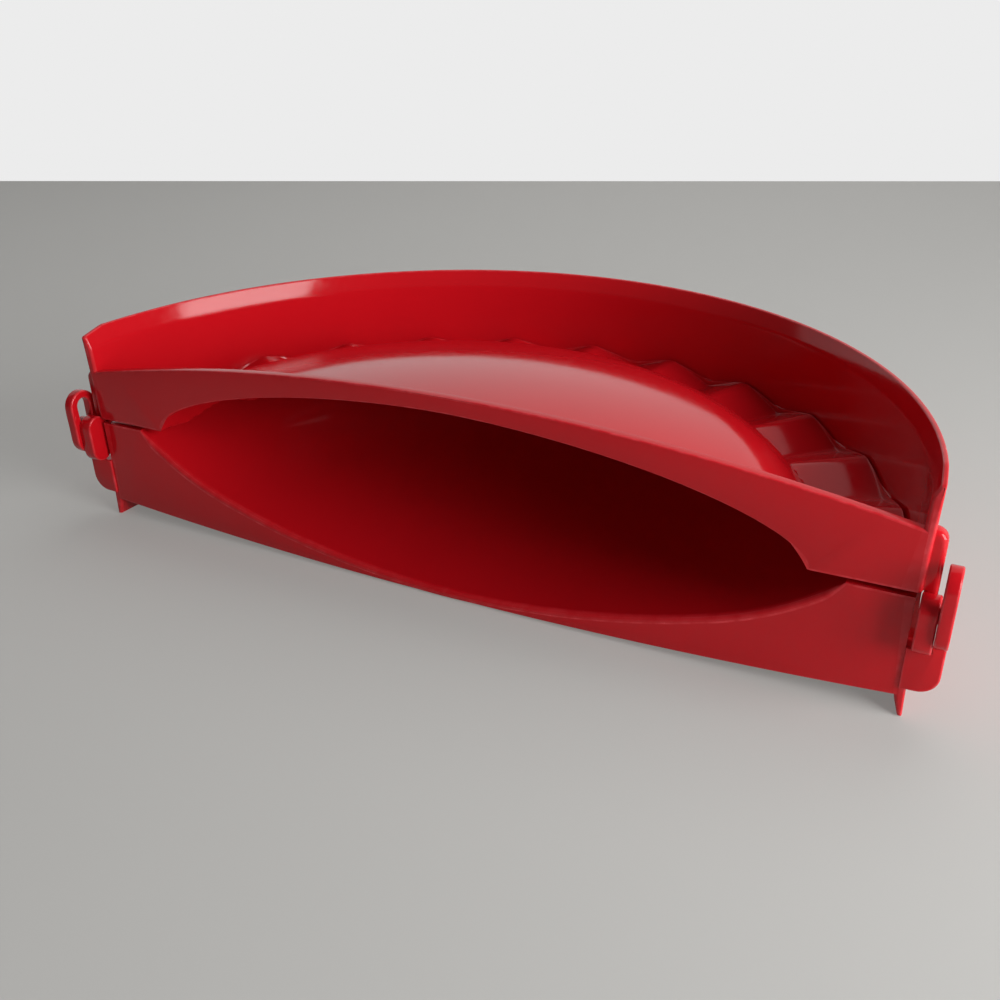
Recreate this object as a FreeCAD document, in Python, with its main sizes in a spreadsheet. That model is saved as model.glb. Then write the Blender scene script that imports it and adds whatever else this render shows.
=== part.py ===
"""Folding half-moon dough press: two moulded halves that clip together on a hinge.

Each half is drawn in a frame of its own: z = 0 is the face that meets the other half, +z runs away
from it, +y runs to the back and z is the axis of the round rim. The lower half is then turned over.
In the finished frame +X runs along the hinge, +Y to the round back and +Z up, and the origin is
under the middle of the part, on the plane that it stands on. Lengths are millimetres.
"""
import FreeCAD, Part
import math
import os
import re

import Sketcher

document = FreeCAD.newDocument("folding_dough_press")
sheet = document.addObject("Spreadsheet::Sheet", "sizes")

# Driving dimensions
SIZES = {
    # Round cutting rim, alike on both halves
    "rim_radius": 97.5,
    "rim_draft": 1.4,
    "rim_wall": 2.0,
    "rim_edge": 0.9,
    "rim_bevel": 4.0,
    "chord_offset": 5.9,
    "mate_gap": 1.1,
    "ring_wall": 1.2,
    # Upper half
    "upper_ring_width": 19.9,
    "upper_bowl_height": 19.5,
    "upper_bowl_wall": 2.2,
    "upper_shoulder_radius": 25.0,
    "upper_shoulder_angle": 14.4,
    "upper_rim_rise": 1.0,
    "upper_front_arch": 9.4,
    "mouth_end": 18.9,
    "mouth_band": 3.8,
    "corner_run": 6.0,
    "corner_drop": 1.6,
    # Lower half
    "lower_ring_width": 12.9,
    "lower_bowl_height": 24.0,
    "lower_bowl_wall": 1.7,
    "lower_shoulder_radius": 70.0,
    "lower_shoulder_angle": 18.4,
    "lower_rim_rise": 0.4,
    "lower_front_arch": 4.2,
    "lip_round": 1.2,
    # Front walls
    "front_wall": 2.2,
    # Crimping teeth
    "tooth_swing": 72.0,
    "tooth_count": 11,
    "tooth_height": 3.0,
    "tooth_space_angle": 1.6,
    "tooth_crest_angle": 1.0,
    "tooth_end_gap": 1.2,
    "tooth_end_slope": 0.9,
    "tooth_clearance": 0.8,
    "tooth_root": 0.4,
    # Hinge
    "hinge_forward": 1.0,
    "pin_radius": 2.2,
    "pin_clearance": 0.06,
    "lever_stand_off": 0.4,
    "lever_thickness": 2.8,
    "lever_round": 3.0,
    "lever_drop": 5.9,
    "boss_height": 12.3,
    "boss_depth": 4.0,
    "boss_reach": 2.3,
    "boss_corner": 2.4,
    "loop_gap": 0.3,
    "loop_thickness": 2.2,
    "loop_round": 4.0,
    "loop_height": 8.2,
    "loop_slot": 1.9,
    "loop_drop": 7.0,
    "loop_post": 3.1,
    "ear_clearance": 0.35,
    "ear_height": 9.0,
    "ear_thickness": 3.0,
    "ear_corner": 4.0,
    "ear_setback": 0.5,
    "notch_width": 0.2,
    "notch_depth": 3.2,
}
for row, (alias, number) in enumerate(SIZES.items(), start=1):
    sheet.set("A%d" % row, alias)
    sheet.set("B%d" % row, str(number))
    sheet.setAlias("B%d" % row, alias)
document.recompute()

ALIAS = re.compile(r"\b(%s)\b" % "|".join(SIZES))

# Lengths and angles that several features share, written once as expressions
LEVER_INNER = "(rim_radius + lever_stand_off)"
LEVER_OUTER = "(%s + lever_thickness)" % LEVER_INNER
LOOP_INNER = "(%s + loop_gap)" % LEVER_OUTER
LOOP_OUTER = "(%s + loop_thickness)" % LOOP_INNER
HINGE_Y = "(chord_offset - hinge_forward)"
BOSS_OUTER = "(rim_radius + boss_reach)"
FRONT_HALF = "sqrt((rim_radius - rim_wall / 2) ^ 2 - chord_offset ^ 2)"
TOOTH_OUTER = "(rim_radius - rim_wall - tooth_end_gap)"
TOOTH_FOOT_ANGLE = "(tooth_swing / (tooth_count - 1) - tooth_space_angle / 2)"

# Points taken along an edge to tell where it lies, and the least distance that counts as one
EDGE_POINTS = 9
LEAST_DISTANCE = 0.001

FULL_TURN = 360.0
HALF_TURN = 180.0


def value(expression):
    """The number that an expression of the sheet's aliases has now."""
    return float(sheet.evalExpression(expression))


def bind(thing, target, expression):
    """Ties one property or constraint of an object to an expression of the sheet's aliases."""
    thing.setExpression(target, ALIAS.sub(r"sizes.\1", expression))


def origin_feature(body, role):
    """One of the body's own origin planes or axes."""
    return next(item for item in body.Origin.OriginFeatures if item.Role == role)


def new_sketch(body, name, role, offset="0"):
    """A sketch on one of the body's origin planes, moved along that plane's normal."""
    sketch = body.newObject("Sketcher::SketchObject", name)
    sketch.AttachmentSupport = [(origin_feature(body, role), "")]
    sketch.MapMode = "FlatFace"
    bind(sketch, "AttachmentOffset.Base.z", offset)
    return sketch


def front_sketch(body, name, distance):
    """A sketch in a plane square to Y, at that distance along +Y."""
    return new_sketch(body, name, "XZ_Plane", "-1 * %s" % distance)


def pin_point(sketch, geometry, position, across, up):
    """Fixes a point of a sketch at two expressions."""
    for kind, expression in (("DistanceX", across), ("DistanceY", up)):
        rule = Sketcher.Constraint(kind, -1, 1, geometry, position, value(expression))
        bind(sketch, "Constraints[%d]" % sketch.addConstraint(rule), expression)


def outline(sketch, corners, bends=None):
    """A closed outline through corners, each a pair of expressions.

    bends gives (radius, side) for an edge that is an arc, by the number of the corner it starts at.
    The arc's centre lies to the left of the way along the edge for side 1, to the right for side -1.
    """
    bends = bends or {}
    points = [FreeCAD.Vector(value(across), value(up), 0) for across, up in corners]
    first_ends = []
    first_edge = sketch.GeometryCount
    for number, start in enumerate(points):
        end = points[(number + 1) % len(points)]
        if number not in bends:
            sketch.addGeometry(Part.LineSegment(start, end), False)
            first_ends.append(1)
            continue
        radius, side = bends[number]
        half = (end - start) * 0.5
        left = FreeCAD.Vector(-half.y, half.x, 0).normalize()
        rise = math.sqrt(value(radius) ** 2 - half.Length ** 2)
        centre = start + half + left * (side * rise)
        middle = centre - left * (side * value(radius))
        sketch.addGeometry(Part.Arc(start, middle, end), False)
        first_ends.append(1 if side > 0 else 2)
        rule = Sketcher.Constraint("Radius", first_edge + number, value(radius))
        bind(sketch, "Constraints[%d]" % sketch.addConstraint(rule), radius)
    for number, (across, up) in enumerate(corners):
        following = (number + 1) % len(points)
        sketch.addConstraint(Sketcher.Constraint(
            "Coincident", first_edge + number, 3 - first_ends[number],
            first_edge + following, first_ends[following]))
        pin_point(sketch, first_edge + number, first_ends[number], across, up)


def circle(sketch, across, up, radius):
    """A circle at two expressions, with its radius a third."""
    centre = FreeCAD.Vector(value(across), value(up), 0)
    number = sketch.addGeometry(Part.Circle(centre, FreeCAD.Vector(0, 0, 1), value(radius)), False)
    rule = Sketcher.Constraint("Radius", number, value(radius))
    bind(sketch, "Constraints[%d]" % sketch.addConstraint(rule), radius)
    pin_point(sketch, number, 3, across, up)


def sweep(body, kind, name, sketch, length, reverse=False):
    """A pad or pocket of a sketch, with its length an expression."""
    feature = body.newObject("PartDesign::" + kind, name)
    feature.Profile = sketch
    feature.Reversed = reverse
    bind(feature, "Length", length)
    return feature


def turned(body, kind, name, sketch):
    """A full revolution or groove of a sketch about the rim's axis."""
    feature = body.newObject("PartDesign::" + kind, name)
    feature.Profile = sketch
    feature.ReferenceAxis = (sketch, ["V_Axis"])
    feature.Angle = FULL_TURN
    return feature


def mirrored(body, name, originals):
    """Copies features of the right end of the hinge to the left end."""
    feature = body.newObject("PartDesign::Mirrored", name)
    feature.Originals = originals
    feature.MirrorPlane = (origin_feature(body, "YZ_Plane"), [""])
    body.Tip = feature
    return feature


def crown(half):
    """The height of the bowl's outside at its middle, which the front wall reaches too."""
    return "(%s_bowl_height + %s_bowl_wall)" % (half, half)


def depth(half):
    """The height from a half's mating face to its cutting edge, which stands clear of the bowl."""
    return "(%s + %s_rim_rise)" % (crown(half), half)


def front_end(half):
    """The front wall's height at its two ends."""
    return "(%s - %s_front_arch)" % (crown(half), half)


def ring_inner(half):
    """The inner radius of the crimping ring, where the bowl begins."""
    return "(rim_radius - %s_ring_width)" % half


def hinge_level(half):
    """The height of the hinge's axis in a half's frame. Opened flat, both rims then lie on one table."""
    other = {"upper": "lower", "lower": "upper"}[half]
    return "((%s - mate_gap - %s) / 2)" % (depth(half), depth(other))


def bowl_sizes(half):
    """Expressions for the bowl's section: a wide dome arc that turns into a tighter shoulder arc.

    The shoulder arc ends at the ring's inner edge on the mating face. The distance between the centres
    of the two arcs follows from that, as the lesser root of a quadratic equation.
    """
    shoulder = half + "_shoulder_radius"
    height = half + "_bowl_height"
    sine = "sin(%s_shoulder_angle)" % half
    cosine = "cos(%s_shoulder_angle)" % half
    foot = ring_inner(half)
    fall = "(1 - %s)" % cosine
    linear = "(%s * %s + (%s - %s) * %s)" % (foot, sine, height, shoulder, fall)
    constant = "(%s ^ 2 + %s ^ 2 - 2 * %s * %s)" % (foot, height, height, shoulder)
    apart = "((%s - sqrt(%s ^ 2 - 2 * %s * %s)) / (2 * %s))" % (linear, linear, fall, constant, fall)
    return {
        "dome": "(%s + %s)" % (shoulder, apart),
        "shoulder": shoulder,
        "sine": sine,
        "cosine": cosine,
        "dome_centre": "(%s - %s - %s)" % (height, shoulder, apart),
        "centre_out": "(%s * %s)" % (apart, sine),
        "centre_up": "(%s - %s - %s * %s)" % (height, shoulder, apart, fall),
    }


def bowl_points(half, wall, level):
    """The bowl's foot at a level, its dome-to-shoulder point and its crown, a wall outside the cavity."""
    size = bowl_sizes(half)
    reach = "(%s + %s)" % (size["shoulder"], wall)
    span = "(%s + %s)" % (size["dome"], wall)
    foot = "%s + sqrt(%s ^ 2 - (%s - (%s)) ^ 2)" % (size["centre_out"], reach, level, size["centre_up"])
    turn_out = "%s * %s" % (span, size["sine"])
    turn_up = "%s + %s * %s" % (size["dome_centre"], span, size["cosine"])
    top = "%s_bowl_height + %s" % (half, wall)
    return (foot, level), (turn_out, turn_up), ("0", top), reach, span


def shell(body, half):
    """The revolved shell: skirt with its bevelled cutting edge, flat crimping ring and solid bowl."""
    edge = depth(half)
    flare = "tan(rim_draft)"
    foot, turn, top, reach, span = bowl_points(half, half + "_bowl_wall", "ring_wall")
    sketch = new_sketch(body, half + "_section", "XZ_Plane")
    corners = [
        ("0", "0"),
        ("rim_radius", "0"),
        ("rim_radius + %s * %s" % (edge, flare), edge),
        ("rim_radius + %s * %s - rim_edge" % (edge, flare), edge),
        ("rim_radius + (%s - rim_bevel) * %s - rim_wall" % (edge, flare), "%s - rim_bevel" % edge),
        ("rim_radius + ring_wall * %s - rim_wall" % flare, "ring_wall"),
        foot,
        turn,
        top,
    ]
    outline(sketch, corners, {6: (reach, 1), 7: (span, 1)})
    turned(body, "Revolution", half + "_shell", sketch)


def front_cut(body, half):
    """Cuts the revolved shell off flat along the hinge side."""
    sketch = front_sketch(body, half + "_front_cut_outline", "chord_offset")
    side = "(2 * rim_radius)"
    minus = "-1 * " + side
    outline(sketch, [(minus, minus), (side, minus), (side, side), (minus, side)])
    sweep(body, "Pocket", half + "_front_cut", sketch, side, reverse=True)


def front_wall(body, half):
    """The flat wall along the hinge side, from skirt to skirt, with an arched free edge."""
    end = front_end(half)
    arch = half + "_front_arch"
    radius = "((%s ^ 2 + %s ^ 2) / (2 * %s))" % (FRONT_HALF, arch, arch)
    left = "-1 * " + FRONT_HALF
    sketch = front_sketch(body, half + "_front_outline", "chord_offset")
    corners = [(left, "0"), (FRONT_HALF, "0"), (FRONT_HALF, end), (left, end)]
    outline(sketch, corners, {2: (radius, 1)})
    return sweep(body, "Pad", half + "_front_wall", sketch, "front_wall", reverse=True)


def cavity(body, half):
    """Hollows the bowl out from the mating face."""
    foot, turn, top, reach, span = bowl_points(half, "0", "0")
    below = "-1 * (tooth_height + tooth_root)"
    sketch = new_sketch(body, half + "_cavity_section", "XZ_Plane")
    corners = [("0", below), (foot[0], below), foot, turn, top]
    outline(sketch, corners, {2: (reach, 1), 3: (span, 1)})
    turned(body, "Groove", half + "_cavity", sketch)


def tooth_section(body, name, radius, level, way, height):
    """The cross-section of the ring's first tooth at one radius.

    It is a ridge on a short root that sinks into the ring, in a plane square to the tooth's length.
    """
    sketch = new_sketch(body, name, "XZ_Plane", "-1 * %s * cos(tooth_swing)" % radius)
    sketch.AttachmentOffset.Rotation = FreeCAD.Rotation(FreeCAD.Vector(0, 1, 0), -value("tooth_swing"))
    bind(sketch, "AttachmentOffset.Base.x", "%s * sin(tooth_swing)" % radius)
    bind(sketch, "AttachmentOffset.Rotation.Angle", "-1 * tooth_swing")
    foot = "%s * tan(%s)" % (radius, TOOTH_FOOT_ANGLE)
    crest = "%s * tan(tooth_crest_angle)" % radius
    root_level = "%s - %s * tooth_root" % (level, way)
    crest_level = "%s + %s * %s" % (level, way, height)
    corners = [
        ("-1 * " + foot, root_level),
        (foot, root_level),
        (foot, level),
        (crest, crest_level),
        ("-1 * " + crest, crest_level),
        ("-1 * " + foot, level),
    ]
    outline(sketch, corners)
    return sketch


def teeth(body, name, kind, level, way, inner, outer, sloped_end):
    """The first radial tooth at the right end of the ring, then copies of it round to the left end.

    Its height grows with the radius, so that its flanks are planes through the rim's axis.
    """
    rise = "(tooth_height * %s / " + TOOTH_OUTER + ")"
    stations = [(inner, rise % inner), (outer, rise % outer)]
    if sloped_end:
        stations.append(("(%s + tooth_end_slope)" % outer, "(tooth_root / 2)"))
    sections = [
        tooth_section(body, "%s_section_%d" % (name, number), radius, level, way, height)
        for number, (radius, height) in enumerate(stations, start=1)
    ]
    loft = body.newObject("PartDesign::" + kind, name)
    loft.Profile = sections[0]
    loft.Sections = sections[1:]
    loft.Ruled = True
    pattern = body.newObject("PartDesign::PolarPattern", name + "_copies")
    pattern.Originals = [loft]
    pattern.Axis = (origin_feature(body, "Z_Axis"), [""])
    bind(pattern, "Angle", "2 * tooth_swing")
    bind(pattern, "Occurrences", "tooth_count")
    body.Tip = pattern


def rounded_mouth_edge(body, half):
    """Rounds the edge where the bowl's inside comes out through the front wall."""
    document.recompute()
    front = value("chord_offset")
    reach = value(ring_inner(half))
    lowest = value("lip_round")
    wall = body.Tip
    names = []
    for number, edge in enumerate(wall.Shape.Edges, start=1):
        points = edge.discretize(EDGE_POINTS)
        flat = all(abs(point.y - front) < LEAST_DISTANCE for point in points)
        inside = all(abs(point.x) < reach + LEAST_DISTANCE for point in points)
        bent = edge.Curve.TypeId != "Part::GeomLine"
        above = max(point.z for point in points) > lowest
        wall_edge = value(front_end(half)) <= min(point.z for point in points)
        if flat and inside and bent and above and not wall_edge:
            names.append("Edge%d" % number)
    fillet = body.newObject("PartDesign::Fillet", half + "_mouth_lip")
    fillet.Base = (wall, names)
    bind(fillet, "Radius", "lip_round")
    body.Tip = fillet


def mouth(body):
    """The arched opening in the upper front wall, the upper half of an ellipse."""
    half_width = "(%s - mouth_end)" % FRONT_HALF
    height = "(%s - mouth_band)" % crown("upper")
    sketch = front_sketch(body, "mouth_outline", "chord_offset")
    middle = FreeCAD.Vector(0, 0, 0)
    ellipse = sketch.addGeometry(Part.Ellipse(middle, value(half_width), value(height)), False)
    sketch.exposeInternalGeometry(ellipse)
    across = ellipse + 1
    upright = ellipse + 2
    sketch.addConstraint(Sketcher.Constraint("Coincident", ellipse, 3, -1, 1))
    sketch.addConstraint(Sketcher.Constraint("Horizontal", across))
    for line, length in ((across, "2 * " + half_width), (upright, "2 * " + height)):
        rule = sketch.addConstraint(Sketcher.Constraint("Distance", line, 1, line, 2, value(length)))
        bind(sketch, "Constraints[%d]" % rule, length)
    return sweep(body, "Pocket", "mouth", sketch, "front_wall")


def rim_corners(body):
    """Slopes the upper rim down towards its two front ends."""
    edge = depth("upper")
    sketch = new_sketch(body, "rim_corner_outline", "YZ_Plane", LEVER_OUTER)
    corners = [
        ("chord_offset - corner_run", "%s - corner_drop" % edge),
        ("chord_offset", "%s - corner_drop" % edge),
        ("chord_offset + corner_run", edge),
        ("chord_offset + corner_run", "%s + corner_drop" % edge),
        ("chord_offset - corner_run", "%s + corner_drop" % edge),
    ]
    outline(sketch, corners)
    sweep(body, "Pocket", "rim_corners", sketch, "2 * " + LEVER_OUTER)


def upper_hinge(body):
    """At each end a boss on the skirt carries a hanging lever, and the lever a round pin."""
    level = hinge_level("upper")
    boss_sketch = front_sketch(body, "boss_outline", "chord_offset")
    corners = [
        (FRONT_HALF, "0"),
        (LEVER_INNER, "0"),
        (LEVER_INNER, level),
        (BOSS_OUTER, level),
        (BOSS_OUTER, "boss_height - boss_corner"),
        ("%s - boss_corner" % BOSS_OUTER, "boss_height"),
        (FRONT_HALF, "boss_height"),
    ]
    outline(boss_sketch, corners, {4: ("boss_corner", 1)})
    boss = sweep(body, "Pad", "hinge_boss", boss_sketch, "boss_depth", reverse=True)
    lever_sketch = new_sketch(body, "lever_outline", "YZ_Plane", LEVER_INNER)
    front = "%s - lever_round" % HINGE_Y
    back = "%s + lever_round" % HINGE_Y
    low = "%s - lever_drop" % level
    corners = [
        (back, low),
        (back, level),
        (HINGE_Y, "%s + lever_round" % level),
        (front, level),
        (front, low),
        (HINGE_Y, "%s - lever_round" % low),
    ]
    quarter = ("lever_round", 1)
    outline(lever_sketch, corners, {1: quarter, 2: quarter, 4: quarter, 5: quarter})
    lever = sweep(body, "Pad", "hinge_lever", lever_sketch, "lever_thickness")
    pin_sketch = new_sketch(body, "pin_outline", "YZ_Plane", LEVER_OUTER)
    circle(pin_sketch, HINGE_Y, level, "pin_radius")
    pin = sweep(body, "Pad", "hinge_pin", pin_sketch, "loop_gap + loop_thickness")
    mirrored(body, "left_hinge", [boss, lever, pin])


def lower_hinge(body):
    """At each end an ear on the skirt carries, on a short post, a spring loop that snaps over the pin."""
    level = hinge_level("lower")
    low = "(%s + loop_drop)" % level
    post_top = "%s - loop_post" % low
    ear_top = "(%s + lever_drop + lever_round + ear_clearance)" % level
    ear_bottom = "(%s + ear_height)" % ear_top
    notch_sketch = front_sketch(body, "notch_outline", "chord_offset")
    inner = "%s - notch_width" % FRONT_HALF
    corners = [(inner, "0"), (LEVER_OUTER, "0"), (LEVER_OUTER, ear_top), (inner, ear_top)]
    outline(notch_sketch, corners)
    notch = sweep(body, "Pocket", "hinge_notch", notch_sketch, "notch_depth")
    ear_sketch = front_sketch(body, "ear_outline", "(chord_offset - ear_setback)")
    corners = [
        (FRONT_HALF, ear_top),
        (LOOP_INNER, ear_top),
        (LOOP_INNER, post_top),
        (LOOP_OUTER, post_top),
        (LOOP_OUTER, "%s - ear_corner" % ear_bottom),
        ("%s - ear_corner" % LOOP_OUTER, ear_bottom),
        (FRONT_HALF, ear_bottom),
    ]
    outline(ear_sketch, corners, {4: ("ear_corner", 1)})
    ear = sweep(body, "Pad", "hinge_ear", ear_sketch, "ear_thickness", reverse=True)
    loop_sketch = new_sketch(body, "loop_outline", "YZ_Plane", LOOP_INNER)
    front = "%s - loop_round" % HINGE_Y
    back = "%s + loop_round" % HINGE_Y
    shoulder = "loop_round - loop_height"
    foot = "%s - loop_round" % low
    corners = [
        (front, foot),
        (front, shoulder),
        (HINGE_Y, "-1 * loop_height"),
        (back, shoulder),
        (back, foot),
        (HINGE_Y, low),
    ]
    quarter = ("loop_round", 1)
    outline(loop_sketch, corners, {1: quarter, 2: quarter, 4: quarter, 5: quarter})
    bore = "(pin_radius + pin_clearance)"
    lift = "sqrt(%s ^ 2 - loop_slot ^ 2)" % bore
    slot_end = "2 * loop_slot - loop_height"
    left = "%s - loop_slot" % HINGE_Y
    right = "%s + loop_slot" % HINGE_Y
    side = "%s - %s" % (level, lift)
    bottom = "%s + %s" % (level, bore)
    keyhole = [
        (left, side),
        (left, slot_end),
        (HINGE_Y, "loop_slot - loop_height"),
        (right, slot_end),
        (right, side),
        (HINGE_Y, bottom),
    ]
    outline(loop_sketch, keyhole, {1: ("loop_slot", 1), 2: ("loop_slot", 1), 4: (bore, 1), 5: (bore, 1)})
    loop = sweep(body, "Pad", "hinge_loop", loop_sketch, "loop_thickness")
    mirrored(body, "left_hinge_loop", [notch, ear, loop])


def new_half(label):
    """An empty body with the name of its piece."""
    body = document.addObject("PartDesign::Body", label)
    body.Label = label
    return body


def upper_half():
    """The half on top: its crimping ring rises in ridges and its front wall has an arched mouth."""
    body = new_half("upper_half")
    shell(body, "upper")
    cavity(body, "upper")
    inner = "(%s - rim_wall)" % ring_inner("upper")
    teeth(body, "crimp_ridge", "AdditiveLoft", "ring_wall", "1", inner, TOOTH_OUTER, True)
    teeth(body, "crimp_hollow", "SubtractiveLoft", "0", "1", inner, TOOTH_OUTER, False)
    front_cut(body, "upper")
    front_wall(body, "upper")
    mouth(body)
    rim_corners(body)
    upper_hinge(body)
    return body


def lower_half():
    """The half underneath: its ridges rise into the hollows of the upper half."""
    body = new_half("lower_half")
    shell(body, "lower")
    outer = "(%s - tooth_clearance - tooth_end_slope)" % TOOTH_OUTER
    inside = "(%s - rim_wall)" % ring_inner("lower")
    outside = "(%s + tooth_clearance)" % bowl_points("lower", "lower_bowl_wall", "ring_wall")[0][0]
    teeth(body, "crimp_tooth", "AdditiveLoft", "0", "-1", inside, outer, True)
    front_cut(body, "lower")
    front_wall(body, "lower")
    cavity(body, "lower")
    teeth(body, "tooth_hollow", "SubtractiveLoft", "ring_wall", "-1", outside, outer, False)
    rounded_mouth_edge(body, "lower")
    lower_hinge(body)
    return body


def place(body, height, turned_over):
    """Stands a half at its height, with the origin under the middle of the finished part."""
    front = "(chord_offset - hinge_forward - loop_round)"
    back = "(rim_radius + %s * tan(rim_draft))" % depth("lower")
    if turned_over:
        body.Placement.Rotation = FreeCAD.Rotation(FreeCAD.Vector(0, 1, 0), HALF_TURN)
    bind(body, "Placement.Base.y", "-1 * (%s + %s) / 2" % (front, back))
    bind(body, "Placement.Base.z", height)


def check_and_write(pieces):
    """Stops on any failed object, then writes one file for each piece."""
    document.recompute()
    for thing in document.Objects:
        if {"Invalid", "Error"} & set(thing.State):
            raise RuntimeError("%s failed: %s" % (thing.Name, thing.State))
    for piece in pieces:
        if piece.Shape.isNull() or not piece.Shape.isValid():
            raise RuntimeError("%s has no valid shape" % piece.Label)
        if len(piece.Shape.Solids) != 1:
            raise RuntimeError("%s is not one solid" % piece.Label)
    os.makedirs("parts", exist_ok=True)
    for piece in pieces:
        piece.Shape.exportStep(os.path.join("parts", piece.Label + ".step"))
        box = piece.Shape.BoundBox
        print(piece.Label, "volume", round(piece.Shape.Volume), "faces", len(piece.Shape.Faces), box)


lower = lower_half()
place(lower, depth("lower"), True)
upper = upper_half()
place(upper, "%s + mate_gap" % depth("lower"), False)
check_and_write([lower, upper])
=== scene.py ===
# %% [markdown]
# # A folding dough press
#
# The object is a kitchen tool in moulded red plastic. Two half-moon halves are hinged along their
# straight side. A round of dough is laid across the open halves, filled, and folded shut: the bowls
# hold the filling and the toothed ring crimps the edge.
#
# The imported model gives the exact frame. This lesson dresses it: every surface is worked out as arrays
# of points, then gets the finish of glossy polypropylene, a plain studio and a camera.

# %% Load the frame
import math

import bmesh
import bpy
import numpy as np
from mathutils import Matrix, Vector


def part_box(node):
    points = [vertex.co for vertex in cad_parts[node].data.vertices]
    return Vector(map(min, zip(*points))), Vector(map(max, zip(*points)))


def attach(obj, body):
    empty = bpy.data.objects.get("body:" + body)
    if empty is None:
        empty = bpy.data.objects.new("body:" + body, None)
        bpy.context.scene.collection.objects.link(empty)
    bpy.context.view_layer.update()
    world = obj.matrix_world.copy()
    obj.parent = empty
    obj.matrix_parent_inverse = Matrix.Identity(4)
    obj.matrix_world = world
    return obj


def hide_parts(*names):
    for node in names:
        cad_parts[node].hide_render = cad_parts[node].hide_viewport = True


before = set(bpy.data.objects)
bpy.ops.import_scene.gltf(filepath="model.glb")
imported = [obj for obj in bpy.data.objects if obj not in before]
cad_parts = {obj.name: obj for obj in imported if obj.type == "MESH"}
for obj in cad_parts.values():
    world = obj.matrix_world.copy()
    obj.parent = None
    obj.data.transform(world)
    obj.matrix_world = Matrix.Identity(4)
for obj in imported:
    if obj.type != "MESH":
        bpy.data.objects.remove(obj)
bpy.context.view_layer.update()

MM = 0.001

# %% [markdown]
# ## The frame of one half
#
# Both halves are the same kind of moulding, so both are drawn in one simple frame: z = 0 is the face
# that meets the other half, z grows away from it, and z is also the axis of the round rim. The front
# plane, where the hinge is, cuts that round a little behind its middle. Afterwards the upper half is
# lifted to its place and the lower half is turned over about Y, which is a true turn and keeps the
# faces pointing outwards.

# %% Sizes that both halves share, in millimetres
RIM_RADIUS = 97.5
RIM_FLARE = math.tan(math.radians(1.4))
RIM_WALL = 2.0
RIM_EDGE = 0.9
RIM_BEVEL = 4.0
FRONT = 5.9
FRONT_WALL = 2.2
MATE_GAP = 1.1
RING_WALL = 1.2
FRONT_HALF = math.sqrt((RIM_RADIUS - RIM_WALL / 2) ** 2 - FRONT ** 2)

# Sizes of each half: the ring's width, the height inside the bowl and its wall, the shoulder's radius,
# the angle in degrees where the dome takes over, the rim's rise above the crown, the fall of the arch.
UPPER = dict(ring=19.9, height=19.5, wall=2.2, shoulder=25.0, angle=14.4, rise=1.0, arch=9.4)
LOWER = dict(ring=12.9, height=24.0, wall=1.7, shoulder=70.0, angle=18.4, rise=0.4, arch=4.2)
for half in (UPPER, LOWER):
    half["crown"] = half["height"] + half["wall"]
    half["depth"] = half["crown"] + half["rise"]

rim_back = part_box("lower_half")[1].y / MM
AXIS_Y = rim_back - (RIM_RADIUS + LOWER["depth"] * RIM_FLARE)


def upper_place(points):
    """Lifts points of the upper half's own frame to their place, in metres."""
    return (points + (0.0, AXIS_Y, LOWER["depth"] + MATE_GAP)) * MM


def lower_place(points):
    """Turns points of the lower half's own frame over about Y and lifts them, in metres."""
    return (points * (-1.0, 1.0, -1.0) + (0.0, AXIS_Y, LOWER["depth"])) * MM


print("rim axis at y = %.2f mm, front plane at y = %.2f mm" % (AXIS_Y, AXIS_Y + FRONT))

# %% [markdown]
# ## From arrays to a mesh
#
# A shape here is a grid of points. The rows and columns of the grid become quads. The open ends of a
# grid are closed with one flat face each, and the doubled points at seams and poles are merged, so that
# every piece is a closed body whose faces can be made to point outwards.

# %% Faces of a grid, and a check that a body is closed
def grid_quads(rows, columns):
    """Quads between neighbouring rows and columns, with the last row joined to the first."""
    index = np.arange(rows * columns).reshape(rows, columns)
    index = np.vstack([index, index[:1]])
    corners = (index[:-1, :-1], index[1:, :-1], index[1:, 1:], index[:-1, 1:])
    return np.stack(corners, axis=-1).reshape(-1, 4)


def open_edges(mesh):
    """How many mesh edges don't lie between exactly two faces; a closed body has none."""
    used = np.empty(len(mesh.loops), dtype=np.int32)
    mesh.loops.foreach_get("edge_index", used)
    return int(np.count_nonzero(np.bincount(used, minlength=len(mesh.edges)) != 2))


print("a grid of 4 rows and 3 columns has %d quads" % len(grid_quads(4, 3)))

# %% Turning grids into a piece
MERGE_DISTANCE = 1e-7
SMOOTH_ANGLE = math.radians(35)


def add_object(name, data):
    """A new object that carries the data, linked to the scene."""
    item = bpy.data.objects.new(name, data)
    bpy.context.scene.collection.objects.link(item)
    return item


def piece_from_grids(name, grids, place):
    """One closed mesh from grids, each capped by a flat face at its first and last column."""
    points = []
    faces = []
    for grid in grids:
        rows, columns, _ = grid.shape
        start = sum(len(part) for part in points)
        points.append(place(grid.reshape(-1, 3)))
        faces += (grid_quads(rows, columns) + start).tolist()
        if not np.allclose(grid[:, 0], grid[:, -1]):
            first = np.arange(rows) * columns + start
            faces.append(first.tolist())
            faces.append((first + columns - 1)[::-1].tolist())
    mesh = bpy.data.meshes.new(name)
    mesh.from_pydata(np.vstack(points).tolist(), [], faces)
    work = bmesh.new()
    work.from_mesh(mesh)
    bmesh.ops.remove_doubles(work, verts=work.verts, dist=MERGE_DISTANCE)
    bmesh.ops.recalc_face_normals(work, faces=work.faces)
    work.to_mesh(mesh)
    work.free()
    mesh.polygons.foreach_set("use_smooth", np.ones(len(mesh.polygons), dtype=bool))
    mesh.set_sharp_from_angle(angle=SMOOTH_ANGLE)
    print("%s: %d faces, %d open edges" % (name, len(mesh.polygons), open_edges(mesh)))
    return add_object(name, mesh)


print("edges sharper than %.0f degrees stay sharp" % math.degrees(SMOOTH_ANGLE))

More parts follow.
